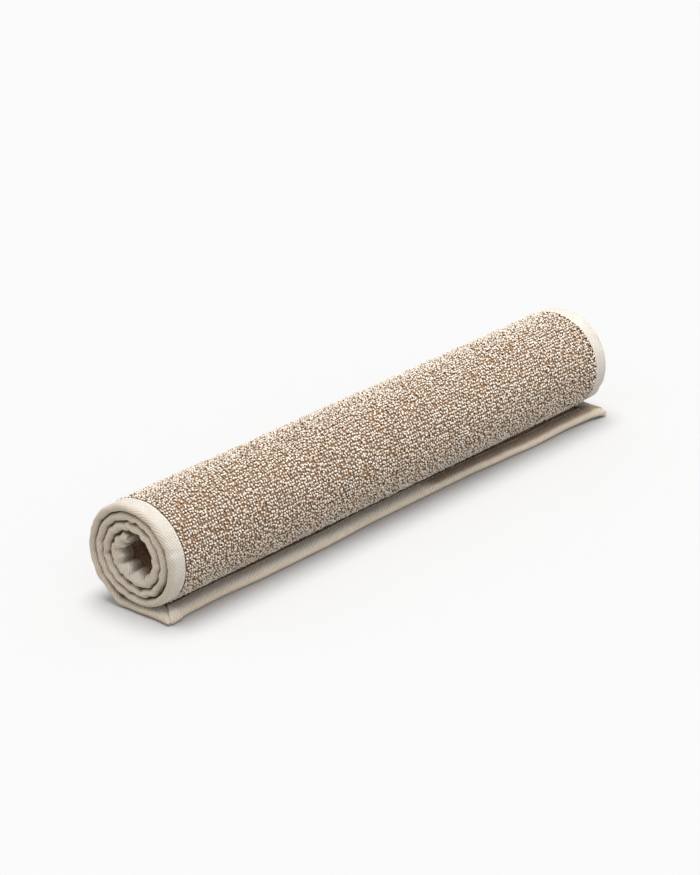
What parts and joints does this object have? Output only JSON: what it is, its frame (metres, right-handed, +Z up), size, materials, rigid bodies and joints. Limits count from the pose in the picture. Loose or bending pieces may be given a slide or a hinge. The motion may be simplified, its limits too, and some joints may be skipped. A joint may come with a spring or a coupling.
{
  "type": "rolled bath mat",
  "caption": "Looped-pile bath mat bound with woven tape, wound into a loose roll with an open core, resting on its flat outer end with the free edge in front.",
  "frame": {"origin": "on the floor, under the middle of the roll's bounding box", "axes": "+X along the roll, +Z up, -Y towards the free edge that lies in front of the roll"},
  "size_m": [0.6, 0.0989, 0.0974],
  "materials": {
    "pile": "matt looped cotton pile in mixed cream, beige and tan yarns",
    "tape": "matt off-white herringbone cotton tape"
  },
  "bodies": {
    "root": {"pile_cloth": "pile", "side_tape_left": "tape", "side_tape_right": "tape", "end_tape_outer": "tape", "end_tape_inner": "tape"}
  },
  "joints": []
}
